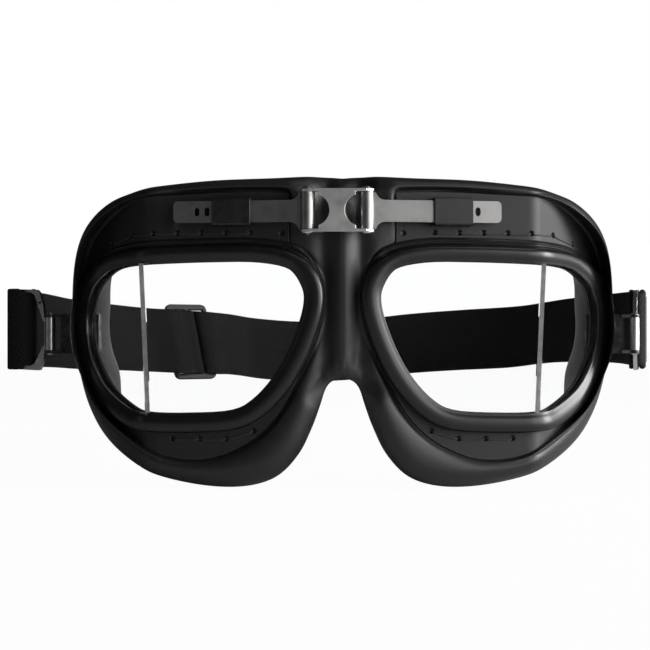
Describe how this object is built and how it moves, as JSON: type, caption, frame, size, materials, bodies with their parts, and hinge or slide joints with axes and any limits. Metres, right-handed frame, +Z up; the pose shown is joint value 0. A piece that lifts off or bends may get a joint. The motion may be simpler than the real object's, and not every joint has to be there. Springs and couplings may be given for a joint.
{
  "type": "split-lens goggles",
  "caption": "Split-lens riding goggles: padded leather mask, two hinged metal eye cups with flat glass lenses, width-adjusting nose bridge and buckled elastic head strap.",
  "frame": {"origin": "middle of the face side of the nose saddle, at eye level, where the mask meets the brow", "axes": "+X across the face towards the wearer's left (the picture's right), +Y from the front to the back of the head, +Z up"},
  "size_m": [0.2101, 0.177, 0.0916],
  "materials": {
    "leather": "smooth black leather, satin",
    "black_metal": "satin black paint on sheet metal",
    "nickel": "nickel plate, fine brushed",
    "glass": "clear flat glass",
    "cement": "grey translucent lens joint",
    "elastic": "woven black elastic webbing",
    "thread": "black waxed thread",
    "lining": "soft black lining",
    "slide_plastic": "moulded black plastic"
  },
  "bodies": {
    "bridge": {"bridge_plate": "nickel", "left_hinge_pin": "nickel", "right_hinge_pin": "nickel", "nose_pad": "leather", "head_strap": "elastic"},
    "strap_slide": {"strap_slide": "slide_plastic"},
    "left_leaf": {"left_hinge_leaf": "nickel"},
    "left_cup": {"left_clip": "black_metal", "left_flange": "black_metal", "left_rim": "black_metal", "left_lens_ring": "nickel", "left_front_lens": "glass", "left_side_lens": "glass", "left_lens_joint": "cement", "left_stitching": "thread", "left_pad": "leather", "left_lining": "lining", "left_lug": "black_metal", "left_lug_pin": "nickel"},
    "left_buckle": {"left_buckle": "nickel"},
    "right_leaf": {"right_hinge_leaf": "nickel"},
    "right_cup": {"right_clip": "black_metal", "right_flange": "black_metal", "right_rim": "black_metal", "right_lens_ring": "nickel", "right_front_lens": "glass", "right_side_lens": "glass", "right_lens_joint": "cement", "right_stitching": "thread", "right_pad": "leather", "right_lining": "lining", "right_lug": "black_metal", "right_lug_pin": "nickel"},
    "right_buckle": {"right_buckle": "nickel", "strap_seam": "thread"}
  },
  "joints": [
    {"name": "left_fold", "type": "hinge", "parent": "bridge", "child": "left_leaf", "pos_m": [-0.01, -0.01953, 0.0366], "axis": [0, 0, 1], "range_deg": [-12, 10], "deforming": ["nose_pad", "head_strap"]},
    {"name": "left_width", "type": "slide", "parent": "left_leaf", "child": "left_cup", "axis": [-0.9903, 0.1392, 0], "range_m": [-0.003, 0.003]},
    {"name": "left_buckle_swing", "type": "hinge", "parent": "left_cup", "child": "left_buckle", "pos_m": [-0.0912, 0.0164, 0.0013], "axis": [0, 0, 1], "range_deg": [-75, 20]},
    {"name": "right_fold", "type": "hinge", "parent": "bridge", "child": "right_leaf", "pos_m": [0.007, -0.01996, 0.0366], "axis": [0, 0, 1], "range_deg": [-10, 12]},
    {"name": "right_width", "type": "slide", "parent": "right_leaf", "child": "right_cup", "axis": [0.9903, 0.1392, 0], "range_m": [-0.003, 0.003]},
    {"name": "right_buckle_swing", "type": "hinge", "parent": "right_cup", "child": "right_buckle", "pos_m": [0.0912, 0.0164, 0.0013], "axis": [0, 0, 1], "range_deg": [-75, 20]},
    {"name": "strap_length", "type": "slide", "parent": "bridge", "child": "strap_slide", "axis": [0.8192, 0.5736, 0], "range_m": [-0.01, 0.01]}
  ]
}
